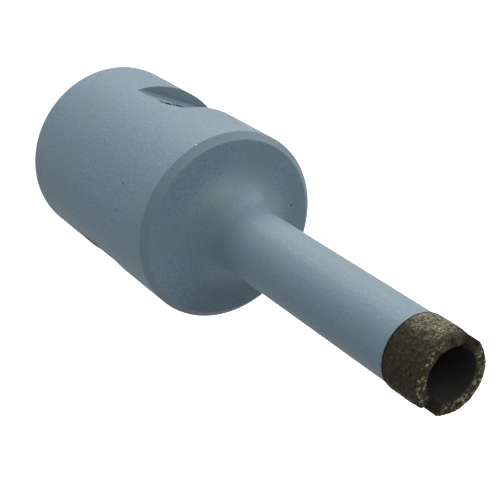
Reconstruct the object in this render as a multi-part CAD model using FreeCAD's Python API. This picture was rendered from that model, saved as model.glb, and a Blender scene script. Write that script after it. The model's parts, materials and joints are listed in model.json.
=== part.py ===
import FreeCAD, Part
import math
import os

# Core bit with a female spindle thread, in millimetres.
# Z = 0 is the seat face at the back, where the bit meets the machine's spindle flange.
# The bit cuts at its +Z end. The two wrench flats face +X and -X.

# Adapter body
body_diameter = 28.0
body_length = 36.5
back_edge_chamfer = 0.5
front_edge_chamfer = 1.0
eased_edge_radius = 0.25

# Wrench flats, milled straight across the body
flat_depth = 2.15
flat_width = 11.4
flat_start = 12.3
flat_corner_radius = 0.5

# Spindle socket for an M14 x 2 thread, bored here to the thread's major diameter
thread_diameter = 14.0
thread_pitch = 2.0
thread_depth = 20.0
thread_mouth_chamfer = 1.0
tap_run_out = 4.0
drill_point_angle = 118.0

# Sintered diamond crown: its diameter is the size of hole that the bit drills
crown_diameter = 10.2
crown_wall = 1.5
crown_height = 6.4
crown_seat_chamfer = 0.1
crown_worn_edge = 0.2
crown_worn_bore_edge = 0.15

# Water slots across the crown's rim
slot_count = 2
slot_width = 2.5
slot_depth = 2.4
slot_corner_radius = 0.4
slot_turn = -12.0

# Barrel: it clears the wall of the hole outside and the core inside
barrel_length = 41.0
barrel_root_radius = 5.5
barrel_end_chamfer = 0.1
hole_clearance = 0.18
core_clearance = 0.2
front_face_land = 0.5

# Worked out from the sizes above
body_radius = body_diameter / 2
crown_radius = crown_diameter / 2
crown_bore_radius = crown_radius - crown_wall
barrel_radius = crown_radius - hole_clearance
barrel_bore_radius = crown_bore_radius + core_clearance
barrel_end = body_length + barrel_length
crown_end = barrel_end + crown_height
front_face_radius = body_radius - front_edge_chamfer
root_radius = min(barrel_root_radius, front_face_radius - front_face_land - barrel_radius)
thread_radius = thread_diameter / 2
tapping_radius = (thread_diameter - thread_pitch) / 2
tapping_end = thread_depth + tap_run_out

ORIGIN = FreeCAD.Vector(0, 0, 0)
Z_AXIS = FreeCAD.Vector(0, 0, 1)
FULL_TURN = 360.0
SAME = 1e-6


def at(radius, height):
    """A point of a half section: its distance from the axis and its height."""
    return FreeCAD.Vector(radius, 0, height)


def straight(*points):
    """Straight edges from each point to the next."""
    return [Part.makeLine(start, end) for start, end in zip(points, points[1:])]


def quarter_round(start, end, centre):
    """A quarter circle about the centre, from start to end."""
    middle = (start + end) * 0.5 - centre
    middle.normalize()
    return [Part.Arc(start, centre + middle * (start - centre).Length, end).toShape()]


def turned(outline):
    """The solid that a closed half section sweeps about the Z axis."""
    return Part.Face(Part.Wire(outline)).revolve(ORIGIN, Z_AXIS, FULL_TURN)


def round_edges(solid, radius, height):
    """The solid's circular edges of this radius at this height."""
    found = []
    for edge in solid.Edges:
        if not isinstance(edge.Curve, Part.Circle):
            continue
        same_height = abs(edge.Curve.Center.z - height) < SAME
        if same_height and abs(edge.Curve.Radius - radius) < SAME:
            found.append(edge)
    return found


def cutter_block(low, high, corner_radius, on_floor, along):
    """A cutter's block with its two long floor edges rounded, as the tool's corners are."""
    size = high - low
    block = Part.makeBox(size.x, size.y, size.z, low)
    floor_edges = []
    for edge in block.Edges:
        start, end = [vertex.Point for vertex in edge.Vertexes]
        direction = (end - start).normalize()
        if on_floor(start) and on_floor(end) and abs(direction.dot(along)) > 1 - SAME:
            floor_edges.append(edge)
    return block.makeFillet(corner_radius, floor_edges)


def steel_blank():
    """The adapter body and the barrel, turned and bored from one bar."""
    root_on_face = at(barrel_radius + root_radius, body_length)
    root_on_barrel = at(barrel_radius, body_length + root_radius)
    root_centre = at(barrel_radius + root_radius, body_length + root_radius)
    half_point = math.radians(drill_point_angle / 2)
    drill_point_end = tapping_end + (tapping_radius - barrel_bore_radius) / math.tan(half_point)
    mouth = at(thread_radius + thread_mouth_chamfer, 0)

    body_outside = straight(
        mouth,
        at(body_radius - back_edge_chamfer, 0),
        at(body_radius, back_edge_chamfer),
        at(body_radius, body_length - front_edge_chamfer),
        at(front_face_radius, body_length),
        root_on_face,
    )
    root = quarter_round(root_on_face, root_on_barrel, root_centre)
    barrel_and_bore = straight(
        root_on_barrel,
        at(barrel_radius, barrel_end - barrel_end_chamfer),
        at(barrel_radius - barrel_end_chamfer, barrel_end),
        at(barrel_bore_radius, barrel_end),
        at(barrel_bore_radius, drill_point_end),
        at(tapping_radius, tapping_end),
        at(tapping_radius, thread_depth),
        at(thread_radius, thread_depth),
        at(thread_radius, thread_mouth_chamfer),
        mouth,
    )
    return turned(body_outside + root + barrel_and_bore)


def eased(blank):
    """The blank with the corners of its outer chamfers eased, as they are under the paint."""
    corners = (
        (body_radius - back_edge_chamfer, 0),
        (body_radius, back_edge_chamfer),
        (body_radius, body_length - front_edge_chamfer),
        (front_face_radius, body_length),
    )
    edges = []
    for radius, height in corners:
        edges += round_edges(blank, radius, height)
    return blank.makeFillet(eased_edge_radius, edges)


def flat_cutter(angle):
    """What the milling cutter takes off one side of the body, right across it."""
    floor = body_radius - flat_depth
    reach = body_radius + flat_depth
    low = FreeCAD.Vector(floor, -reach, flat_start)
    high = FreeCAD.Vector(reach, reach, flat_start + flat_width)
    along = FreeCAD.Vector(0, 1, 0)
    cutter = cutter_block(low, high, flat_corner_radius, lambda p: abs(p.x - floor) < SAME, along)
    cutter.rotate(ORIGIN, Z_AXIS, angle)
    return cutter


def steel_body():
    """Adapter body with its two flats and its socket, in one piece with the barrel."""
    body = eased(steel_blank())
    for angle in (0, FULL_TURN / 2):
        body = body.cut(flat_cutter(angle))
    return body


def crown_ring():
    """The sintered ring, worn round at its cutting edges."""
    outer_start = at(crown_radius, crown_end - crown_worn_edge)
    outer_end = at(crown_radius - crown_worn_edge, crown_end)
    outer_centre = at(crown_radius - crown_worn_edge, crown_end - crown_worn_edge)
    inner_start = at(crown_bore_radius + crown_worn_bore_edge, crown_end)
    inner_end = at(crown_bore_radius, crown_end - crown_worn_bore_edge)
    inner_centre = at(crown_bore_radius + crown_worn_bore_edge, crown_end - crown_worn_bore_edge)
    seat = at(crown_bore_radius, barrel_end)

    seat_and_side = straight(
        seat,
        at(crown_radius - crown_seat_chamfer, barrel_end),
        at(crown_radius, barrel_end + crown_seat_chamfer),
        outer_start,
    )
    outer_edge = quarter_round(outer_start, outer_end, outer_centre)
    rim = straight(outer_end, inner_start)
    inner_edge = quarter_round(inner_start, inner_end, inner_centre)
    bore = straight(inner_end, seat)
    return turned(seat_and_side + outer_edge + rim + inner_edge + bore)


def slot_cutter(angle):
    """One water slot: from the bore out through the ring's wall, open at the rim."""
    floor = crown_end - slot_depth
    low = FreeCAD.Vector(0, -slot_width / 2, floor)
    high = FreeCAD.Vector(crown_radius + crown_wall, slot_width / 2, crown_end + slot_depth)
    along = FreeCAD.Vector(1, 0, 0)
    cutter = cutter_block(low, high, slot_corner_radius, lambda p: abs(p.z - floor) < SAME, along)
    cutter.rotate(ORIGIN, Z_AXIS, angle)
    return cutter


def diamond_crown():
    """The cutting ring: it seats face to face on the barrel's end and is brazed there."""
    crown = crown_ring()
    for index in range(slot_count):
        crown = crown.cut(slot_cutter(slot_turn + index * FULL_TURN / slot_count))
    return crown


def write(node, shape):
    """Write one piece to its STEP file, and say what it holds."""
    shape.exportStep(os.path.join("parts", node + ".step"))
    print(node, "solids", len(shape.Solids), "valid", shape.isValid(), "volume", round(shape.Volume, 2))


os.makedirs("parts", exist_ok=True)
write("steel_body", steel_body())
write("diamond_crown", diamond_crown())
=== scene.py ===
import json
import math
import random
from types import SimpleNamespace

import bpy
import numpy as np
from mathutils import Matrix, Quaternion, Vector, noise


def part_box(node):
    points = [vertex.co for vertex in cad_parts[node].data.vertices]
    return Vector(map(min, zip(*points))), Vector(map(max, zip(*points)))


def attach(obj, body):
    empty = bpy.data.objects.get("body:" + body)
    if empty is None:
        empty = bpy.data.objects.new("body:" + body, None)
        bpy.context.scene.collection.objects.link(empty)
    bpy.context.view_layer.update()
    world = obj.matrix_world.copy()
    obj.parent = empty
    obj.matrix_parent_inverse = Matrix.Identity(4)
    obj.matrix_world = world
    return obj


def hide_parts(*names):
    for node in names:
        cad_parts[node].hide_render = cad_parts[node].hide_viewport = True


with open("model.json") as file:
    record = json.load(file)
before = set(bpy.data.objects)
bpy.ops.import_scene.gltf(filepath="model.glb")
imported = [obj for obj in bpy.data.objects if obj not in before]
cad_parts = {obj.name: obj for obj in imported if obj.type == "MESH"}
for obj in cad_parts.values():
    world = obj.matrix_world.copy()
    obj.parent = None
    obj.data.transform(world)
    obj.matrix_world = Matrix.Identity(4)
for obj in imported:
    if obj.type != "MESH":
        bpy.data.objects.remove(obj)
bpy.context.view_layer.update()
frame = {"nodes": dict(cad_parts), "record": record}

# Sizes are in metres, and come from the frame where the frame has them.
MM = 0.001
BODY_LOW, BODY_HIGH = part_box("steel_body")
_, CROWN_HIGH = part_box("diamond_crown")
THREAD = next(m for m in frame["record"]["mounts"] if m["name"] == "spindle_thread")
FLAT = next(m for m in frame["record"]["mounts"] if m["name"] == "wrench_flat_left")

BODY_RADIUS = BODY_HIGH.y
BARREL_END = BODY_HIGH.z
CROWN_RADIUS = 5.1 * MM
CROWN_BORE_RADIUS = 3.6 * MM
CROWN_TOP = CROWN_HIGH.z
BODY_LENGTH = 36.5 * MM
FRONT_CHAMFER = 1.0 * MM
BACK_CHAMFER = 0.5 * MM
SOCKET_END = 25.4 * MM
FLAT_DISTANCE = abs(FLAT["pos_m"][0])
FLAT_LOW = 12.3 * MM
FLAT_HIGH = 23.7 * MM
FLAT_HALF_LENGTH = math.sqrt(BODY_RADIUS ** 2 - FLAT_DISTANCE ** 2)
BARREL_BORE_RADIUS = 3.8 * MM
EDGE_MARGIN = 0.1 * MM

# Water slots of the crown
SLOT_ANGLES = (math.radians(-12), math.radians(168))
SLOT_HALF_WIDTH = 1.25 * MM
SLOT_FLOOR = CROWN_TOP - 2.4 * MM

# Wear of the crown's outer corner, in millimetres: the solid's even rounding, and the uneven wear that
# the photograph shows, as places with a middle and a width in degrees round the rim and a depth
CAD_EDGE_LOSS = 0.083
EDGE_LOSS_LEAST = 0.01
EDGE_WEAR = (
    (140, 30, 0.17),
    (18, 16, 0.10),
    (-34, 11, 0.21),
    (-75, 30, 0.07),
    (-140, 26, 0.11),
    (-172, 14, 0.12),
)

# Painted shade on the crown's wall, laid in as a dark film on the wall's shaded side: the middle and the half
# width of its place, in degrees
SHADE_FILM_MIDDLE = -83
SHADE_FILM_HALF_WIDTH = 50

# Chips in the paint of the -X flat, in millimetres: middle Y and Z, half length, half height, turn in degrees
PAINT_CHIPS = (
    (-5.15, 16.5, 0.85, 0.46, 98),
    (-3.9, 16.6, 1.75, 0.62, 157),
    (-1.35, 15.35, 1.60, 0.60, 147),
)

# Painted highlight, as light flecks in the paint: a line along the barrel where its highlight runs, by its
# direction from the axis in degrees, and a patch on the root, by its middle in millimetres
GLINT_ANGLE = -136
GLINT_PATCH = Vector((-4.0, -5.0, 38.2))
GLINT_LINE_START = 44 * MM

# The side of the front face that is painted darker as shade, in degrees, and where the painted shade by the
# +X flat fades out
SHADED_FACE_ANGLE = 36
FLAT_SHADE_FADE = FLAT_LOW + 7.0 * MM
FLAT_SHADE_END = FLAT_LOW + 11.0 * MM

# Nibs in the paint that the photograph shows, as a point in millimetres and the way that it faces
SEEN_NIBS = (
    ((-0.84, -13.98, 28.05), (-0.06, -1, 0)),
    ((3.11, -13.65, 28.22), (0.22, -0.97, 0)),
    ((-5.37, 8.85, 36.5), (0, 0, 1)),
)
SEEN_FLECK = ((-9.94, -9.86, 35.49), (-0.71, -0.70, 0))
SEEN_NIB_SIZE = 0.16
SEEN_FLECK_SIZE = 0.11
NIB_COUNT = 30

# Thread in the socket, M14 x 2: its ridges stand on the wall of the bore
THREAD_RADIUS = THREAD["dims"]["r_mm"] * MM
THREAD_PITCH = 2.0 * MM
THREAD_DEPTH = 20.0 * MM
THREAD_MOUTH_RADIUS = 8.0 * MM

# Camera, fitted to the photograph: the picture is 500 px square
PICTURE_PX = 500
FOCAL_PX = 1247.17
SENSOR_MM = 36.0
CAMERA_TARGET = Vector((0.98, -0.30, 42.70)) * MM
CAMERA_DISTANCE = 171.3 * MM
CAMERA_AZIMUTH = math.radians(-16.78)
CAMERA_ELEVATION = math.radians(49.63)
CAMERA_ROLL = math.radians(124.155)

# Strength of the floor's own light, and of the room's on matt and on shiny surfaces
FLOOR_GLOW = 0.80
ROOM_LIGHT = 0.56
ROOM_SHEEN = 0.44


# Node trees

class Nodes:
    """The node tree of one material, built by short calls that return sockets."""

    def __init__(self, name):
        self.material = bpy.data.materials.new(name)
        self.material.use_nodes = True
        self.tree = self.material.node_tree
        self.tree.nodes.clear()

    def add(self, kind, inputs=None, **settings):
        """A node with its settings, and with its inputs set to values or joined to sockets."""
        made = self.tree.nodes.new(kind)
        for name, value in settings.items():
            setattr(made, name, value)
        for name, value in (inputs or {}).items():
            if isinstance(value, bpy.types.NodeSocket):
                self.tree.links.new(value, made.inputs[name])
            else:
                made.inputs[name].default_value = value
        return made

    def place(self):
        """The point in the part's frame, in metres: every piece's object sits at the origin."""
        return self.add("ShaderNodeTexCoord").outputs["Object"]

    def coordinates(self, place):
        """The place's X, Y and Z."""
        return self.add("ShaderNodeSeparateXYZ", {0: place}).outputs[:3]

    def shifted(self, place, offset):
        """The place moved by a fixed offset, so that a second pattern doesn't repeat the first."""
        return self.add("ShaderNodeVectorMath", {0: place, 1: offset}).outputs[0]

    def maths(self, operation, first, second=0.0):
        """One step of arithmetic or comparison."""
        return self.add("ShaderNodeMath", {0: first, 1: second}, operation=operation).outputs[0]

    def product(self, *factors):
        """All the factors multiplied."""
        result = factors[0]
        for factor in factors[1:]:
            result = self.maths("MULTIPLY", result, factor)
        return result

    def distance(self, first, second):
        """How far apart two values are."""
        return self.maths("ABSOLUTE", self.maths("SUBTRACT", first, second))

    def stretched(self, value, low, high, to_low=0.0, to_high=1.0, kind="SMOOTHSTEP"):
        """The value's step from low to high, mapped smoothly to the second range."""
        inputs = {"Value": value, "From Min": low, "From Max": high, "To Min": to_low, "To Max": to_high}
        return self.add("ShaderNodeMapRange", inputs, interpolation_type=kind).outputs[0]

    def noise(self, place, size, detail=2.0, roughness=0.5):
        """Noise from about 0.3 to 0.7 whose features are about this size."""
        inputs = {"Vector": place, "Scale": 1 / size, "Detail": detail, "Roughness": roughness}
        return self.add("ShaderNodeTexNoise", inputs).outputs["Fac"]

    def stirred(self, place, size, reach):
        """The place moved about by noise of this size, so that cells there are irregular."""
        made = self.add("ShaderNodeTexNoise", {"Vector": place, "Scale": 1 / size, "Detail": 2.0})
        middle = {0: made.outputs["Color"], 1: (0.5, 0.5, 0.5)}
        centred = self.add("ShaderNodeVectorMath", middle, operation="SUBTRACT")
        moved = {0: centred.outputs[0], 1: (reach, reach, reach), 2: place}
        return self.add("ShaderNodeVectorMath", moved, operation="MULTIPLY_ADD").outputs[0]

    def spots(self, place, size, share, edge, soft):
        """1 in round spots at the middles of a share of the cells, whose radius is the edge, in cells."""
        distance, colour = self.cells(place, size)
        random_value = self.add("ShaderNodeSeparateColor", {0: colour}).outputs[0]
        chosen = self.maths("GREATER_THAN", random_value, 1 - share)
        return self.maths("MULTIPLY", chosen, self.stretched(distance, edge - soft, edge, 1.0, 0.0))

    def cells(self, place, size):
        """Voronoi cells of this size: the distance from each centre, in cells, and a colour each."""
        inputs = {"Vector": place, "Scale": 1 / size, "Randomness": 1.0}
        made = self.add("ShaderNodeTexVoronoi", inputs, feature="F1")
        return made.outputs["Distance"], made.outputs["Color"]

    def blend(self, factor, first, second, mode="MIX"):
        """Two colours mixed by the factor."""
        made = self.add("ShaderNodeMix", data_type="RGBA", blend_type=mode, clamp_factor=True)
        for socket, value in ((0, factor), (6, first), (7, second)):
            if isinstance(value, bpy.types.NodeSocket):
                self.tree.links.new(value, made.inputs[socket])
            else:
                made.inputs[socket].default_value = value
        return made.outputs[2]

    def bump(self, height, distance, strength=1.0, normal=None):
        """A bumped normal: the height runs from 0 to 1 over the distance, in metres."""
        inputs = {"Height": height, "Distance": distance, "Strength": strength}
        if normal is not None:
            inputs["Normal"] = normal
        return self.add("ShaderNodeBump", inputs).outputs[0]

    def surface(self, **inputs):
        """Finish the material with one principled shader."""
        named = {name.replace("_", " "): value for name, value in inputs.items()}
        shader = self.add("ShaderNodeBsdfPrincipled", named)
        output = self.add("ShaderNodeOutputMaterial")
        self.tree.links.new(shader.outputs[0], output.inputs["Surface"])
        return self.material


def grey(value):
    """A neutral colour."""
    return (value, value, value, 1.0)


# Materials

PAINT_TEAL = (0.095, 0.160, 0.197, 1.0)
PAINT_BLUE = (0.098, 0.157, 0.209, 1.0)
PAINT_GREY = (0.106, 0.154, 0.178, 1.0)
PAINT_CHAMFER = (0.098, 0.149, 0.174, 1.0)
# Thinner, lighter paint: wear on the turned edges, and painted light on the flats
PAINT_WEAR_AND_SHEEN = (0.17, 0.23, 0.26, 1.0)
PAINT_SPECK = (0.030, 0.042, 0.053, 1.0)
# Light flakes: strewn in the paint, and as light flecks in the painted highlights
PAINT_FLAKE_AND_GLINT = (0.40, 0.46, 0.49, 1.0)
# Painted shade, a dark blue: by the +X flat and on one side of the front face
PAINT_SHADE = (0.014, 0.022, 0.040, 1.0)
CHIP_DARK = (0.006, 0.005, 0.005, 1.0)
CHIP_BROWN = (0.070, 0.045, 0.028, 1.0)
NIB_DARK = (0.028, 0.030, 0.034, 1.0)
NIB_GREY = (0.06, 0.08, 0.095, 1.0)
FLECK_GREY = (0.60, 0.64, 0.64, 1.0)
FLECK_LIGHT = (0.75, 0.78, 0.76, 1.0)
STEEL = (0.21, 0.20, 0.19, 1.0)
STEEL_DARK = (0.055, 0.050, 0.046, 1.0)


def radius_and_height(n, place):
    """Distance from the bit's axis, and height along it."""
    x, y, z = n.coordinates(place)
    return n.maths("SQRT", n.maths("ADD", n.product(x, x), n.product(y, y))), z


def ring_distance(n, first, second, first_middle, second_middle):
    """How far the point of two coordinates is from a middle: so also from a circular edge of the body."""
    across = n.maths("SUBTRACT", first, first_middle)
    along = n.maths("SUBTRACT", second, second_middle)
    return n.maths("SQRT", n.maths("ADD", n.product(across, across), n.product(along, along)))


def worn_edges(n, place, radius, height):
    """1 along the body's turned edges, where the paint is thin, broken up by noise."""
    edges = (
        (BODY_RADIUS, BODY_LENGTH - FRONT_CHAMFER),
        (BODY_RADIUS - FRONT_CHAMFER, BODY_LENGTH),
        (BODY_RADIUS, BACK_CHAMFER),
        (BODY_RADIUS - BACK_CHAMFER, 0.0),
    )
    nearest = None
    for ring_radius, ring_height in edges:
        distance = ring_distance(n, radius, height, ring_radius, ring_height)
        nearest = distance if nearest is None else n.maths("MINIMUM", nearest, distance)
    patchy = n.noise(place, 2.2 * MM, detail=4.0, roughness=0.65)
    width = n.stretched(patchy, 0.35, 0.7, 0.10 * MM, 0.42 * MM)
    return n.stretched(n.maths("DIVIDE", nearest, width), 0.2, 1.0, 1.0, 0.0)


def bare_inside(n, radius, height):
    """1 in the socket and the barrel's bore, which the paint doesn't reach."""
    in_socket = n.product(n.maths("LESS_THAN", radius, THREAD_MOUTH_RADIUS),
                          n.maths("LESS_THAN", height, SOCKET_END))
    in_bore = n.maths("LESS_THAN", radius, BARREL_BORE_RADIUS + EDGE_MARGIN)
    return n.maths("MAXIMUM", in_socket, in_bore)


def by_front_face(n, height):
    """1 on the front face and its chamfer, and on the barrel."""
    return n.maths("GREATER_THAN", height, BODY_LENGTH - FRONT_CHAMFER - EDGE_MARGIN)


def painted_glints(n, place, radius, height):
    """1 for the painted highlight of light flecks: a line along the barrel where its highlight runs, and a
    patch on its root.
    """
    turn = math.radians(GLINT_ANGLE)
    towards = (math.cos(turn), math.sin(turn), 0)
    outward = n.add("ShaderNodeVectorMath", {0: place, 1: towards}, operation="DOT_PRODUCT")
    on_barrel = n.product(n.maths("LESS_THAN", radius, 5.0 * MM),
                          n.maths("GREATER_THAN", height, GLINT_LINE_START))
    line = n.product(n.stretched(outward.outputs["Value"], 4.82 * MM, 4.91 * MM), on_barrel)
    away = n.add("ShaderNodeVectorMath", {0: place, 1: GLINT_PATCH * MM}, operation="DISTANCE")
    patch = n.stretched(away.outputs["Value"], 1.9 * MM, 0.8 * MM, 0.0, 0.8)
    return n.maths("MAXIMUM", line, patch)


def painted_flat_shade(n, place):
    """1 on the near edge of the +X flat and on its lower wall: painted shade, a dark line along the flat's
    edge and the corner of its wall.
    """
    x, y, z = n.coordinates(place)
    width = n.stretched(n.noise(place, 1.1 * MM, detail=4.0, roughness=0.7), 0.35, 0.65, 0.7 * MM, 1.7 * MM)
    from_edge = n.maths("DIVIDE", ring_distance(n, x, y, FLAT_DISTANCE, -FLAT_HALF_LENGTH), width)
    by_edge = n.product(n.stretched(from_edge, 0.5, 1.1, 1.0, 0.0), n.stretched(z, FLAT_SHADE_END, FLAT_SHADE_FADE),
                        n.stretched(z, FLAT_LOW - 1.0 * MM, FLAT_LOW + 0.3 * MM))
    on_wall = n.product(n.maths("GREATER_THAN", x, FLAT_DISTANCE + 0.05 * MM),
                        n.stretched(n.distance(z, FLAT_LOW), 0.30 * MM, 0.08 * MM))
    return n.maths("MAXIMUM", by_edge, on_wall)


def painted_face_shade(n, place, radius, height):
    """1 along one side of the front face's rim, behind the barrel from the key lights: painted shade, in
    cloudy patches.
    """
    x, y, _ = n.coordinates(place)
    turn = math.radians(SHADED_FACE_ANGLE)
    outward = n.maths("ADD", n.product(x, math.cos(turn)), n.product(y, math.sin(turn)))
    cloudy = n.stretched(n.noise(place, 3.0 * MM, detail=3.0), 0.3, 0.7, 0.7, 1.0)
    return n.product(n.stretched(outward, 3.5 * MM, 12.0 * MM), cloudy, by_front_face(n, height),
                     n.stretched(radius, 6.0 * MM, 9.0 * MM))


def flats_painted_light(n, place):
    """1 where the paint on the flats is lighter: painted light on their floors, and on their lower walls by
    the rim, for the sheen that grazing light gives there.
    """
    x, _, z = n.coordinates(place)
    off_middle = n.maths("ABSOLUTE", x)
    on_floor = n.product(n.maths("LESS_THAN", n.distance(off_middle, FLAT_DISTANCE), 0.03 * MM),
                         n.maths("GREATER_THAN", z, FLAT_LOW), n.maths("LESS_THAN", z, FLAT_HIGH))
    at_wall = n.maths("LESS_THAN", n.distance(z, FLAT_LOW), 0.03 * MM)
    to_rim = n.stretched(off_middle, FLAT_DISTANCE + 0.5 * MM, FLAT_DISTANCE + 2.0 * MM)
    return n.maths("MAXIMUM", on_floor, n.product(at_wall, to_rim))


def paint_colour(n, place, edge):
    """Satin grey-blue that drifts between two hues, with fine speckle, worn places and crumbs, and painted
    light and shade: shade by the +X flat and on one side of the front face, a darker chamfer, lighter flats
    and light flecks along the highlights.
    """
    radius, height = radius_and_height(n, place)
    drift = n.stretched(n.noise(place, 2.6 * MM, detail=4.0, roughness=0.6), 0.35, 0.65)
    speckle = n.noise(place, 0.30 * MM, detail=3.0, roughness=0.8)
    colour = n.blend(drift, PAINT_TEAL, PAINT_BLUE)
    colour = n.blend(1.0, colour, n.stretched(speckle, 0.3, 0.7, 0.72, 1.28, "LINEAR"), "MULTIPLY")
    cloud = n.stretched(n.noise(place, 8 * MM, detail=2.0), 0.42, 0.6)
    on_rim = n.maths("GREATER_THAN", radius, BODY_RADIUS - FRONT_CHAMFER - EDGE_MARGIN)
    crumbs = n.spots(n.stirred(place, 0.2 * MM, 0.2 * MM), 0.34 * MM, 0.6, 0.30, 0.2)
    layers = (
        (edge, 0.35, PAINT_WEAR_AND_SHEEN),
        (cloud, 0.6, PAINT_GREY),
        # The chamfer greyer and a little darker: partly its own hue, partly painted shade
        (n.product(on_rim, by_front_face(n, height)), 0.5, PAINT_CHAMFER),
        (n.stretched(height, BODY_LENGTH + 6.0 * MM, BODY_LENGTH + 14.0 * MM), 0.35, PAINT_GREY),
        # Painted light: the flats' floors and lower walls lighter
        (flats_painted_light(n, place), 0.4, PAINT_WEAR_AND_SHEEN),
        # Painted shade: a dark line by the +X flat, and one side of the front face darker
        (painted_flat_shade(n, place), 0.85, PAINT_SHADE),
        (painted_face_shade(n, place, radius, height), 0.36, PAINT_SHADE),
        # Painted highlight: light flecks along the barrel's highlight and on its root
        (n.product(crumbs, painted_glints(n, place, radius, height)), 0.33, PAINT_FLAKE_AND_GLINT),
        (n.spots(place, 3.4 * MM, 0.38, 0.05, 0.025), 0.7, PAINT_SPECK),
        (n.spots(place, 2.1 * MM, 0.30, 0.035, 0.0175), 0.7, PAINT_FLAKE_AND_GLINT),
    )
    for where, strength, stain in layers:
        colour = n.blend(n.product(where, strength), colour, stain)
    return colour


def steel_colour(n, place, height):
    """Oily turned steel, with faint tool rings and dirt."""
    rings = n.noise(n.add("ShaderNodeCombineXYZ", {2: height}).outputs[0], 0.16 * MM, detail=3.0)
    dirt = n.noise(place, 1.6 * MM, detail=5.0, roughness=0.65)
    tone = n.maths("MULTIPLY", n.stretched(rings, 0.3, 0.7, 0.55, 1.0), n.stretched(dirt, 0.35, 0.62))
    return n.blend(tone, STEEL_DARK, STEEL)


def body_material():
    """Paint outside, bare steel in the socket and the bore."""
    n = Nodes("body_paint")
    place = n.place()
    radius, height = radius_and_height(n, place)
    edge = worn_edges(n, place, radius, height)
    bare = bare_inside(n, radius, height)
    colour = n.blend(bare, paint_colour(n, place, edge), steel_colour(n, place, height))

    peel = n.noise(place, 0.6 * MM, detail=2.0, roughness=0.5)
    grain = n.noise(place, 0.13 * MM, detail=2.0, roughness=0.6)
    normal = n.bump(peel, 0.020 * MM, 0.5)
    normal = n.bump(grain, 0.022 * MM, 0.8, normal)
    satin = n.stretched(n.noise(place, 0.4 * MM, detail=3.0, roughness=0.6), 0.3, 0.7, 0.40, 0.54)
    roughness = n.maths("ADD", satin, n.maths("MULTIPLY", bare, -0.05))
    sparkle = n.bump(n.noise(place, 0.25 * MM, detail=1.0), 0.03 * MM)
    return n.surface(Base_Color=colour, Roughness=roughness, Metallic=n.maths("MULTIPLY", bare, 0.85),
                     Normal=normal, Specular_IOR_Level=0.36, Coat_Weight=0.12, Coat_Roughness=0.22,
                     Coat_Normal=sparkle)


def thread_material():
    """The same oily steel on the thread's ridges."""
    n = Nodes("thread_steel")
    place = n.place()
    _, height = radius_and_height(n, place)
    scratches = n.noise(place, 0.12 * MM, detail=3.0, roughness=0.6)
    return n.surface(Base_Color=steel_colour(n, place, height), Metallic=0.85,
                     Roughness=n.stretched(scratches, 0.3, 0.7, 0.28, 0.5),
                     Normal=n.bump(scratches, 0.01 * MM, 0.5))


CROWN_TAN = (0.158, 0.154, 0.099, 1.0)
CROWN_CRYSTAL = (0.46, 0.46, 0.36, 1.0)
CROWN_OLIVE = (0.050, 0.049, 0.029, 1.0)
CROWN_BROWN = (0.034, 0.029, 0.016, 1.0)
# Dark film, and painted shade on the wall's shaded side
CROWN_FILM_AND_SHADE = (0.0160, 0.0140, 0.0076, 1.0)
CROWN_PIT = (0.003, 0.003, 0.002, 1.0)
# Painted shade for the bore and the slots
CROWN_RECESS_SHADE = (0.0240, 0.0240, 0.0250, 1.0)


def crown_material():
    """Sintered bronze and grit: light grains and black pits, under a dark film in places, with painted shade
    on the wall's shaded side, in the slots and in the bore.
    """
    n = Nodes("sintered_matrix")
    place = n.place()
    readers = [n.add("ShaderNodeAttribute", attribute_name=name) for name in ("tone", "pit", "film_and_shade", "recess_shade")]
    tone, pit, film_and_shade, recess_shade = [reader.outputs["Fac"] for reader in readers]
    patch = n.noise(place, 1.6 * MM, detail=3.0, roughness=0.6)
    crumbs = n.noise(place, 0.46 * MM, detail=5.0, roughness=0.72)
    fleck = n.noise(n.shifted(place, (0.31, 0.17, 0.23)), 0.38 * MM, detail=4.0, roughness=0.75)
    colour = n.blend(n.stretched(patch, 0.35, 0.65), CROWN_BROWN, CROWN_OLIVE)
    light = n.maths("MULTIPLY", tone, n.stretched(fleck, 0.43, 0.57, 0.58, 1.0))
    colour = n.blend(light, colour, CROWN_TAN)
    ragged = n.stirred(place, 0.3 * MM, 0.22 * MM)
    clear = n.stretched(film_and_shade, 0.0, 1.0, 1.0, 0.05)
    crystals = n.maths("MULTIPLY", n.spots(ragged, 0.34 * MM, 0.26, 0.32, 0.12), clear)
    colour = n.blend(n.maths("MULTIPLY", crystals, tone), colour, CROWN_CRYSTAL)
    veil = n.maths("MULTIPLY", film_and_shade, n.stretched(fleck, 0.50, 0.64, 0.93, 0.72))
    colour = n.blend(veil, colour, CROWN_FILM_AND_SHADE)
    elsewhere = n.shifted(ragged, (0.11, 0.07, 0.03))
    small_pits = n.maths("MULTIPLY", n.spots(elsewhere, 0.36 * MM, 0.78, 0.48, 0.07),
                         n.stretched(film_and_shade, 0.0, 1.0, 0.95, 0.25))
    holes = n.maths("MULTIPLY", n.stretched(crumbs, 0.44, 0.39), n.stretched(film_and_shade, 0.0, 1.0, 0.95, 0.45))
    colour = n.blend(n.maths("MAXIMUM", n.maths("MAXIMUM", pit, small_pits), holes), colour, CROWN_PIT)
    colour = n.blend(recess_shade, colour, CROWN_RECESS_SHADE)
    _, _, height = n.coordinates(place)
    seam = n.stretched(height, BARREL_END + 0.20 * MM, BARREL_END + 0.50 * MM, 0.95, 0.0)
    colour = n.blend(seam, colour, CROWN_PIT)
    normal = n.bump(n.stretched(crumbs, 0.36, 0.5), 0.06 * MM, 0.8)
    normal = n.bump(fleck, 0.03 * MM, 0.6, normal)
    dull = n.stretched(n.maths("MAXIMUM", film_and_shade, recess_shade), 0.0, 1.0, 0.32, 0.12, "LINEAR")
    return n.surface(Base_Color=colour, Roughness=n.stretched(fleck, 0.3, 0.7, 0.8, 0.55),
                     Specular_IOR_Level=dull, Specular_Tint=(1.0, 0.90, 0.68, 1.0), Normal=normal)


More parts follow.
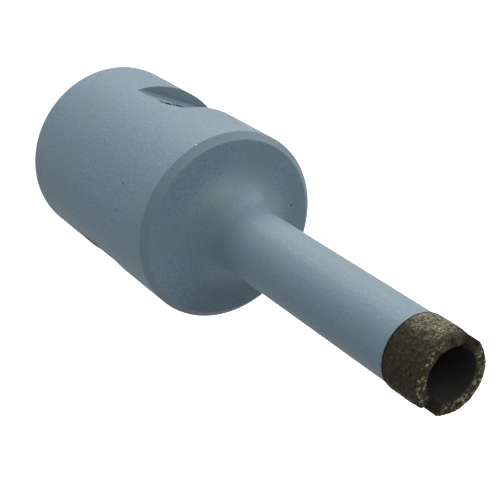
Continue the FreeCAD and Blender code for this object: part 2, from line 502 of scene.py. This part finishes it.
def chip_material():
    """Where the paint is chipped off: dark stained metal with brown crumbs."""
    n = Nodes("chipped_paint")
    place = n.place()
    crumbs = n.noise(place, 0.3 * MM, detail=4.0, roughness=0.7)
    colour = n.blend(n.stretched(crumbs, 0.5, 0.66), CHIP_DARK, CHIP_BROWN)
    return n.surface(Base_Color=colour, Roughness=1.0, Specular_IOR_Level=0.0,
                     Normal=n.bump(crumbs, 0.05 * MM))


def nib_material():
    """A grain of dirt under the paint."""
    n = Nodes("dirt_nib")
    place = n.place()
    tint = n.stretched(n.noise(place, 3.0 * MM, detail=1.0), 0.4, 0.6)
    return n.surface(Base_Color=n.blend(tint, NIB_DARK, NIB_GREY), Roughness=0.5,
                     Normal=n.bump(n.noise(place, 0.05 * MM), 0.01 * MM))


def fleck_material():
    """A light crumb that sticks in the paint."""
    n = Nodes("light_fleck")
    tint = n.noise(n.place(), 0.1 * MM)
    return n.surface(Base_Color=n.blend(tint, FLECK_GREY, FLECK_LIGHT), Roughness=0.5,
                     Normal=n.bump(tint, 0.01 * MM))


def floor_material():
    """A pale matt light table with a barely visible tooth."""
    n = Nodes("pale_board")
    place = n.place()
    tooth = n.noise(place, 1.2 * MM, detail=3.0, roughness=0.6)
    cloud = n.noise(place, 60 * MM, detail=2.0)
    tone = n.maths("ADD", n.maths("MULTIPLY", tooth, 0.5), n.maths("MULTIPLY", cloud, 0.5))
    return n.surface(Base_Color=n.blend(tone, grey(0.86), grey(0.90)), Roughness=0.8,
                     Emission_Color=grey(1.0), Emission_Strength=FLOOR_GLOW,
                     Normal=n.bump(tooth, 0.02 * MM, 0.3))


# Pieces

def add_mesh(name, points, faces, material):
    """A new object at the origin with this mesh and material."""
    mesh = bpy.data.meshes.new(name)
    mesh.from_pydata([tuple(p) for p in points], [], faces)
    mesh.materials.append(material)
    mesh.polygons.foreach_set("use_smooth", [True] * len(mesh.polygons))
    mesh.update()
    made = bpy.data.objects.new(name, mesh)
    bpy.context.scene.collection.objects.link(made)
    return made


def thread_ridges():
    """The female thread: one helical ridge, trimmed by the countersink at its mouth."""
    sharp_height = THREAD_PITCH * math.sqrt(3) / 2
    crest_radius = THREAD_RADIUS - sharp_height * 5 / 8
    root_half = THREAD_PITCH * 7 / 16
    crest_half = THREAD_PITCH / 8
    embedded = 0.03 * MM
    section = (
        (THREAD_RADIUS + embedded, -root_half),
        (THREAD_RADIUS, -root_half),
        ((THREAD_RADIUS + crest_radius) / 2, -(root_half + crest_half) / 2),
        (crest_radius + 0.05 * MM, -crest_half),
        (crest_radius, -crest_half * 0.6),
        (crest_radius, crest_half * 0.6),
        (crest_radius + 0.05 * MM, crest_half),
        ((THREAD_RADIUS + crest_radius) / 2, (root_half + crest_half) / 2),
        (THREAD_RADIUS, root_half),
        (THREAD_RADIUS + embedded, root_half),
    )
    steps = 72
    start = 0.6 * MM
    turns = (THREAD_DEPTH - start) / THREAD_PITCH - 0.5
    fade_turns = 0.4
    count = int(turns * steps) + 1
    points = []
    for index in range(count):
        turn = index / steps
        angle = turn * math.tau
        middle = start + root_half / 2 + turn * THREAD_PITCH
        fade = min(1.0, (turns - turn) / fade_turns)
        for radius, offset in section:
            height = max(middle + offset, 0.05 * MM)
            faded = THREAD_RADIUS + embedded - (THREAD_RADIUS + embedded - radius) * max(fade, 0.02)
            trimmed = max(faded, THREAD_MOUTH_RADIUS - height + 0.02 * MM)
            points.append((trimmed * math.cos(angle), trimmed * math.sin(angle), height))
    width = len(section)
    faces = []
    for index in range(count - 1):
        for side in range(width):
            after = (side + 1) % width
            near, far = index * width, (index + 1) * width
            faces.append((near + side, far + side, far + after, near + after))
    faces.append(tuple(range(width)))
    faces.append(tuple(range((count - 1) * width, count * width))[::-1])
    ridges = add_mesh("thread_ridges", points, faces, thread_material())
    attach(ridges, "root")


def remeshed(node, voxel):
    """A copy of a CAD node's mesh as an even net of small quads, its points in millimetres."""
    source = frame["nodes"][node]
    rough = bpy.data.objects.new(node + "_rough", source.data.copy())
    bpy.context.scene.collection.objects.link(rough)
    rough.data.transform(Matrix.Scale(1 / MM, 4))
    remesh = rough.modifiers.new("remesh", "REMESH")
    remesh.mode = "VOXEL"
    remesh.voxel_size = voxel
    fine = bpy.data.meshes.new_from_object(rough.evaluated_get(bpy.context.evaluated_depsgraph_get()))
    bpy.data.objects.remove(rough)
    return fine


def smooth_step(low, high, value):
    """0 up to low, 1 from high on, and a smooth rise between; or a fall, where low is the larger."""
    share = np.clip((value - low) / (high - low), 0, 1)
    return share * share * (3 - 2 * share)


def noise_at(points, size, seed):
    """Perlin noise at each point, for features of this size in millimetres."""
    shift = Vector((seed * 7.13, seed * 3.71, seed * 5.29))
    return np.array([noise.noise(Vector(p) / size + shift) for p in points])


def grains_at(points, size, seed):
    """For each point: how far its grain's centre and the next are, in grains, and the grain's own value."""
    shift = Vector((seed * 7.13, seed * 3.71, seed * 5.29))
    near, second, value = [], [], []
    for p in points:
        distances, centres = noise.voronoi(Vector(p) / size + shift)
        near.append(distances[0])
        second.append(distances[1])
        value.append(noise.cell(centres[0] * 13.7))
    return np.array(near), np.array(second), np.array(value) * 0.5 + 0.5


def edge_loss(angle):
    """How much of the rim's outer corner is worn away at each angle, in millimetres along its slant."""
    loss = np.full(len(angle), EDGE_LOSS_LEAST)
    for middle, width, depth in EDGE_WEAR:
        away = (angle - middle + 180) % 360 - 180
        loss = loss + depth * np.exp(-(away / width) ** 2)
    return loss


def across_slots(points):
    """For each point, how far it is from the nearest slot's middle plane, and large where there is none."""
    nearest = np.full(len(points), 99.0)
    for angle in SLOT_ANGLES:
        along = points[:, 0] * math.cos(angle) + points[:, 1] * math.sin(angle)
        across = -points[:, 0] * math.sin(angle) + points[:, 1] * math.cos(angle)
        nearest = np.where(along > 0, np.minimum(nearest, np.abs(across)), nearest)
    return nearest


def eased(mesh, points, share, rounds):
    """The points drawn towards their neighbours' middle, by each point's share, a few times over."""
    ends = np.empty(len(mesh.edges) * 2, np.int32)
    mesh.edges.foreach_get("vertices", ends)
    here = np.concatenate([ends[0::2], ends[1::2]])
    there = np.concatenate([ends[1::2], ends[0::2]])
    joined = np.bincount(here, minlength=len(points))
    for _ in range(rounds):
        sums = [np.bincount(here, points[there, axis], len(points)) for axis in range(3)]
        middle = np.stack(sums, axis=1)
        points = points + share[:, None] * (middle / joined[:, None] - points)
    return points


def points_and_normals(mesh):
    """The mesh's points and their normals, as two arrays with a row each."""
    flat = np.empty(len(mesh.vertices) * 3)
    mesh.vertices.foreach_get("co", flat)
    flat_normals = np.empty(len(mesh.vertices) * 3, np.float32)
    mesh.vertex_normals.foreach_get("vector", flat_normals)
    return flat.reshape(-1, 3), flat_normals.reshape(-1, 3).astype(float)


# The crown is shaped in millimetres
TOP = CROWN_TOP / MM
OUTER = CROWN_RADIUS / MM
INNER = CROWN_BORE_RADIUS / MM
SLOT_HALF = SLOT_HALF_WIDTH / MM
SLOT_LOW = SLOT_FLOOR / MM
SEAT = BARREL_END / MM
CROWN_VOXEL = 0.085
GRAIN_SIZE = 0.42
COARSE_GRAIN_SIZE = 0.6
PIT_SIZE = 0.55


def crown_zones(mesh, sharp):
    """The points with the slots' edges worn round, and how far each is in the zones of the crown."""
    zone = SimpleNamespace()
    zone.across = across_slots(sharp)
    zone.ragged = noise_at(sharp, 0.6, 11)
    zone.by_slot = smooth_step(SLOT_HALF + 0.5, SLOT_HALF + 0.1, zone.across)
    zone.by_slot *= smooth_step(SLOT_LOW - 0.4, SLOT_LOW - 0.1, sharp[:, 2])
    points = eased(mesh, sharp, zone.by_slot * np.clip(0.45 + 0.5 * zone.ragged, 0.1, 0.9), 10)
    zone.radius = np.hypot(points[:, 0], points[:, 1])
    zone.height = points[:, 2]
    zone.angle = np.degrees(np.arctan2(points[:, 1], points[:, 0]))
    zone.outside = smooth_step(OUTER - 0.35, OUTER - 0.1, zone.radius)
    zone.bore = smooth_step(INNER + 0.15, INNER + 0.02, zone.radius)
    zone.rim = smooth_step(TOP - 0.45, TOP - 0.15, zone.height)
    zone.in_slot = smooth_step(SLOT_HALF + 0.08, SLOT_HALF - 0.02, zone.across)
    zone.in_slot *= smooth_step(SLOT_LOW - 0.12, SLOT_LOW - 0.02, zone.height)
    zone.rough = np.clip(zone.outside + zone.rim, 0, 1) * (1 - 0.3 * zone.in_slot) * (1 - zone.bore)
    return points, zone


def crown_grains(points):
    """The grit at each point: fine grains, coarse grains and open pits."""
    grain = SimpleNamespace()
    near, second, grain.value = grains_at(points, GRAIN_SIZE, 1)
    grain.cobble = smooth_step(0.0, 0.35, second - near)
    near, second, grain.coarse_value = grains_at(points, COARSE_GRAIN_SIZE, 2)
    grain.coarse_gap = second - near
    near, _, chosen = grains_at(points, PIT_SIZE, 3)
    pit_edge = 0.30 + 0.12 * noise_at(points, 0.2, 6)
    grain.pits = (chosen > 0.4) * smooth_step(pit_edge, pit_edge - 0.12, near)
    return grain


def by_corner(zone, radius, reach):
    """1 at the rim's corner of this radius, and less with the distance from it."""
    return np.exp(-((zone.radius - radius) ** 2 + (zone.height - TOP) ** 2) / reach ** 2)


def grained(points, normals, zone, grain):
    """The points moved along their normals by the grit, and inwards by the wear of the outer corner."""
    swell = noise_at(points, 1.3, 4)
    fine = noise_at(points, 0.17, 5)
    lift = zone.rough * (0.022 * (grain.cobble - 0.5) + 0.022 * (grain.value - 0.5))
    blocks = 0.07 * (grain.coarse_value - 0.5) * smooth_step(0, 0.3, grain.coarse_gap)
    lift += zone.rim * (1 - zone.in_slot) * blocks
    lift -= 0.085 * grain.pits * zone.rough
    lift += 0.03 * zone.outside + 0.012 * fine * (0.3 + 0.7 * zone.rough)
    lift += 0.05 * zone.in_slot * zone.ragged + 0.03 * swell * (0.3 + 0.7 * zone.rim)
    lift += zone.by_slot * zone.rim * 0.16 * zone.ragged
    crumbled = np.clip(0.35 + 1.6 * noise_at(points, 0.55, 14), 0, 1)
    lift -= by_corner(zone, INNER, 0.28) * 0.14 * crumbled
    loss = (edge_loss(zone.angle) - CAD_EDGE_LOSS) * by_corner(zone, OUTER, 0.36)
    loss *= 1 + 0.5 * noise_at(points, 0.9, 9)
    to_axis = -points[:, :2] / zone.radius[:, None]
    inward = np.column_stack([to_axis, -np.ones(len(points))]) / math.sqrt(2)
    moved = points + normals * lift[:, None] + inward * loss[:, None]
    moved[:, 2] = np.maximum(moved[:, 2], SEAT + 0.005)
    return moved


def dark_film_and_shade(points, zone, rim_face, coarse):
    """Darkening of the wall: painted shade on its shaded side, and a dark film in patches, under the rim, by
    the slots and between grains.
    """
    away = np.abs((zone.angle - SHADE_FILM_MIDDLE + 180) % 360 - 180)
    film_and_shade = smooth_step(SHADE_FILM_HALF_WIDTH + 16, SHADE_FILM_HALF_WIDTH - 14, away + 12 * noise_at(points, 0.9, 12))
    film_and_shade = np.maximum(film_and_shade, smooth_step(0.1, 0.5, noise_at(points, 2.4, 13)) * 0.3)
    film_and_shade = np.maximum(film_and_shade, smooth_step(TOP - 1.3, TOP - 0.5, zone.height)) * (1 - rim_face)
    left_of_slot = (points[:, 0] < 0) & (points[:, 1] < 1)
    reach = SLOT_HALF + np.where(left_of_slot, 0.3 + 2.2 * rim_face, 0.2)
    beside_slot = smooth_step(reach + 0.8, reach, zone.across + 0.5 * zone.ragged)
    beside_slot *= smooth_step(SLOT_LOW - 0.2, SLOT_LOW + 0.8, zone.height)
    film_and_shade = np.maximum(film_and_shade, (0.97 - 0.3 * rim_face) * beside_slot)
    film_and_shade = np.maximum(film_and_shade, 0.7 * rim_face * (1 - coarse))
    return smooth_step(0.08, 0.92, film_and_shade + 0.26 * noise_at(points, 0.26, 15))


def crown_colours(points, normals, zone, grain):
    """What the material reads at each point: its lightness, its pits, the dark film with painted shade, and
    painted shade in the slots and the bore.
    """
    steepest = np.where(zone.radius < (OUTER + INNER) / 2, 0.1, 0.45)
    rim_face = smooth_step(steepest, steepest + 0.35, normals[:, 2])
    rim_face *= smooth_step(TOP - 0.6, TOP - 0.4, zone.height) * (1 - zone.in_slot)
    coarse = smooth_step(0.30, 0.48, grain.coarse_value) * smooth_step(0.02, 0.2, grain.coarse_gap)
    film_and_shade = dark_film_and_shade(points, zone, rim_face, coarse)
    tone = np.clip(0.6 + 0.4 * grain.value * grain.cobble, 0, 1)
    # The slots darker: painted shade
    tone = (tone + rim_face * (1.15 * coarse - tone)) * (1 - 0.7 * zone.in_slot)
    return {
        "tone": tone,
        "pit": grain.pits * zone.rough * (1 - 0.6 * film_and_shade),
        "film_and_shade": film_and_shade,
        # The bore and the slots dark: painted shade
        "recess_shade": np.clip(zone.bore + zone.in_slot * (0.45 + 0.5 * zone.ragged), 0, 1),
    }


def crown():
    """The sintered ring with its grain: raised grit, open pits, a worn uneven rim and ragged slots."""
    mesh = remeshed("diamond_crown", CROWN_VOXEL)
    sharp, normals = points_and_normals(mesh)
    points, zone = crown_zones(mesh, sharp)
    grain = crown_grains(points)
    moved = grained(points, normals, zone, grain)
    mesh.vertices.foreach_set("co", (moved * MM).astype(np.float32).ravel())
    for name, values in crown_colours(points, normals, zone, grain).items():
        layer = mesh.attributes.new(name, "FLOAT", "POINT")
        layer.data.foreach_set("value", values.astype(np.float32))
    mesh.polygons.foreach_set("use_smooth", [True] * len(mesh.polygons))
    mesh.materials.clear()
    mesh.materials.append(crown_material())
    mesh.update()
    made = bpy.data.objects.new("sintered_crown", mesh)
    bpy.context.scene.collection.objects.link(made)
    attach(made, "root")
    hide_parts("diamond_crown")


def paint_chips(paint):
    """Ragged chips on the flat, each a dark floor inside a low lip of lifted paint."""
    chosen = random.Random(7)
    face = FLAT["pos_m"][0]
    rings = ((0.0, 0.006), (0.6, 0.008), (0.98, 0.006), (1.04, 0.016), (1.15, 0.010), (1.3, -0.010))
    sides = 36
    points, faces, painted = [], [], []
    for middle_y, middle_z, half_length, half_height, turn in PAINT_CHIPS:
        bends = [(chosen.uniform(0.06, 0.16), waves, chosen.uniform(0, math.tau)) for waves in (2, 3, 5, 9)]
        turned = math.radians(turn)
        first = len(points)
        for share, proud in rings:
            for side in range(sides):
                around = math.tau * side / sides
                uneven = 1 + sum(size * math.sin(waves * around + start) for size, waves, start in bends)
                along = half_length * share * uneven * math.cos(around)
                up = half_height * share * uneven * math.sin(around)
                y = middle_y + along * math.cos(turned) - up * math.sin(turned)
                z = middle_z + along * math.sin(turned) + up * math.cos(turned)
                points.append((face - proud * MM, y * MM, z * MM))
        for ring in range(len(rings) - 1):
            for side in range(sides):
                after = (side + 1) % sides
                low, high = first + ring * sides, first + (ring + 1) * sides
                faces.append((low + side, low + after, high + after, high + side))
                painted.append(ring >= 2)
    chips = add_mesh("paint_chips", points, faces, chip_material())
    chips.data.materials.append(paint)
    chips.data.polygons.foreach_set("material_index", [int(p) for p in painted])
    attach(chips, "root")


def paint_nibs():
    """Grains in the paint: three dark ones and a light one that the photograph shows, and others strewn."""
    chosen = random.Random(19)
    spots = [(Vector(place) * MM, Vector(facing).normalized(), SEEN_NIB_SIZE) for place, facing in SEEN_NIBS]
    spots.append((Vector(SEEN_FLECK[0]) * MM, Vector(SEEN_FLECK[1]).normalized(), SEEN_FLECK_SIZE))
    for _ in range(NIB_COUNT):
        angle = chosen.uniform(0, math.tau)
        facing = Vector((math.cos(angle), math.sin(angle), 0))
        height = chosen.uniform(2, 34) * MM
        if abs(facing.x) < 0.78:
            spots.append((facing * BODY_RADIUS + Vector((0, 0, height)), facing, chosen.uniform(0.04, 0.08)))
    points, faces = [], []
    sides = 10
    for place, facing, size in spots:
        right = facing.orthogonal().normalized()
        up = facing.cross(right)
        first = len(points)
        for share, proud in ((1.0, -0.06), (0.85, 0.16), (0.4, 0.34)):
            for side in range(sides):
                around = math.tau * side / sides
                reach = size * MM * share * (1 + 0.2 * math.sin(3 * around + place.x / MM))
                level = right * math.cos(around) + up * math.sin(around)
                points.append(place + level * reach + facing * size * proud * MM)
        points.append(place + facing * size * 0.38 * MM)
        for ring in range(2):
            for side in range(sides):
                after = (side + 1) % sides
                low, high = first + ring * sides, first + (ring + 1) * sides
                faces.append((low + side, low + after, high + after, high + side))
        last_ring, tip = first + 2 * sides, first + 3 * sides
        for side in range(sides):
            faces.append((last_ring + side, last_ring + (side + 1) % sides, tip))
    nibs = add_mesh("paint_nibs", points, faces, nib_material())
    nibs.data.materials.append(fleck_material())
    per_nib = len(faces) // len(spots)
    is_fleck = [int(index // per_nib == len(SEEN_NIBS)) for index in range(len(faces))]
    nibs.data.polygons.foreach_set("material_index", is_fleck)
    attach(nibs, "root")


def studio_floor():
    """A wide pale light table: the bit stands on it, and the low lights shine through it."""
    half = 1.5
    cells = 24
    points, faces = [], []
    for row in range(cells + 1):
        for column in range(cells + 1):
            points.append((half * (2 * column / cells - 1), half * (2 * row / cells - 1), 0.0))
    for row in range(cells):
        for column in range(cells):
            corner = row * (cells + 1) + column
            faces.append((corner, corner + 1, corner + cells + 2, corner + cells + 1))
    floor = add_mesh("studio_floor", points, faces, floor_material())
    floor.location.z = BODY_LOW.z - 0.01 * MM
    floor.visible_shadow = False
    floor.visible_diffuse = False
    floor.visible_glossy = False


# Camera and lights

def seen_from(azimuth, elevation):
    """The direction towards a viewpoint: azimuth 0 is the side of -Y."""
    level = math.cos(elevation)
    return Vector((math.sin(azimuth) * level, -math.cos(azimuth) * level, math.sin(elevation)))


def camera():
    """The photograph's viewpoint, rolled so that the bit points to the lower right."""
    data = bpy.data.cameras.new("camera")
    data.sensor_width = SENSOR_MM
    data.lens = FOCAL_PX / PICTURE_PX * SENSOR_MM
    data.clip_start = 0.01
    data.clip_end = 20.0
    made = bpy.data.objects.new("camera", data)
    bpy.context.scene.collection.objects.link(made)
    back = seen_from(CAMERA_AZIMUTH, CAMERA_ELEVATION)
    made.location = CAMERA_TARGET + back * CAMERA_DISTANCE
    made.rotation_mode = "QUATERNION"
    made.rotation_quaternion = (-back).to_track_quat("-Z", "Y") @ Quaternion((0, 0, 1), CAMERA_ROLL)
    bpy.context.scene.camera = made


def soft_box(name, azimuth, elevation, watts, distance=0.7, size=0.55, tint=(1.0, 1.0, 1.0), glossy=True):
    """A square area light that looks at the bit, and that gloss reflects unless it is told not to."""
    data = bpy.data.lights.new(name, "AREA")
    data.shape = "SQUARE"
    data.size = size
    data.energy = watts
    data.color = tint
    made = bpy.data.objects.new(name, data)
    bpy.context.scene.collection.objects.link(made)
    direction = seen_from(math.radians(azimuth), math.radians(elevation))
    made.location = Vector((0, 0, BODY_LENGTH)) + direction * distance
    made.rotation_mode = "QUATERNION"
    made.rotation_quaternion = (-direction).to_track_quat("-Z", "Y")
    made.visible_camera = False
    made.visible_glossy = glossy


def pale_room():
    """An even pale room: matt and shiny surfaces get their own strength, and the camera sees white."""
    world = bpy.data.worlds.new("pale_room")
    world.use_nodes = True
    tree = world.node_tree
    background = tree.nodes["Background"]
    background.inputs["Color"].default_value = grey(1.0)
    background.inputs["Strength"].default_value = ROOM_LIGHT
    path = tree.nodes.new("ShaderNodeLightPath")
    seen = background.outputs[0]
    for ray, strength in (("Is Glossy Ray", ROOM_SHEEN), ("Is Camera Ray", 1.0)):
        other = tree.nodes.new("ShaderNodeBackground")
        other.inputs["Color"].default_value = grey(1.0)
        other.inputs["Strength"].default_value = strength
        either = tree.nodes.new("ShaderNodeMixShader")
        tree.links.new(path.outputs[ray], either.inputs[0])
        tree.links.new(seen, either.inputs[1])
        tree.links.new(other.outputs[0], either.inputs[2])
        seen = either.outputs[0]
    tree.links.new(seen, tree.nodes["World Output"].inputs["Surface"])
    bpy.context.scene.world = world


def studio_light():
    """Soft boxes: the strong ones along the -X side, the top of the picture, and weak fills opposite."""
    key = {"azimuth": -72, "elevation": 32, "distance": 0.4, "size": 0.32}
    soft_box("key_high", watts=0.50, tint=(1.0, 0.98, 0.95), **key)
    soft_box("key_soft", watts=0.30, glossy=False, **key)
    soft_box("top", azimuth=-80, elevation=55, watts=0.22, distance=0.3, size=0.24, tint=(1.0, 0.90, 0.80))
    soft_box("key_low", azimuth=-90, elevation=-32, watts=2.2)
    soft_box("front_low", azimuth=-45, elevation=-32, watts=1.8)
    soft_box("side", azimuth=-120, elevation=0, watts=1.75)
    soft_box("back_low", azimuth=-135, elevation=-32, watts=0.66)
    soft_box("back", azimuth=-180, elevation=0, watts=0.63)
    soft_box("under_side", azimuth=-90, elevation=-62, watts=0.26)
    soft_box("under_front", azimuth=0, elevation=-62, watts=0.22)
    soft_box("fill_low", azimuth=25, elevation=-38, watts=0.60, tint=(0.82, 0.94, 1.08), glossy=False)
    soft_box("back_right", azimuth=130, elevation=0, watts=0.9, tint=(1.15, 1.0, 0.92), glossy=False)
    soft_box("low_right", azimuth=85, elevation=-5, watts=0.7, tint=(1.12, 1.0, 0.94), glossy=False)
    soft_box("glint", azimuth=-77, elevation=-46, watts=0.08, size=0.06)


camera()
studio_floor()
pale_room()
studio_light()
frame["nodes"]["steel_body"].data.materials.clear()
paint = body_material()
frame["nodes"]["steel_body"].data.materials.append(paint)
thread_ridges()
crown()
paint_chips(paint)
paint_nibs()
bpy.context.scene.view_settings.view_transform = "Standard"
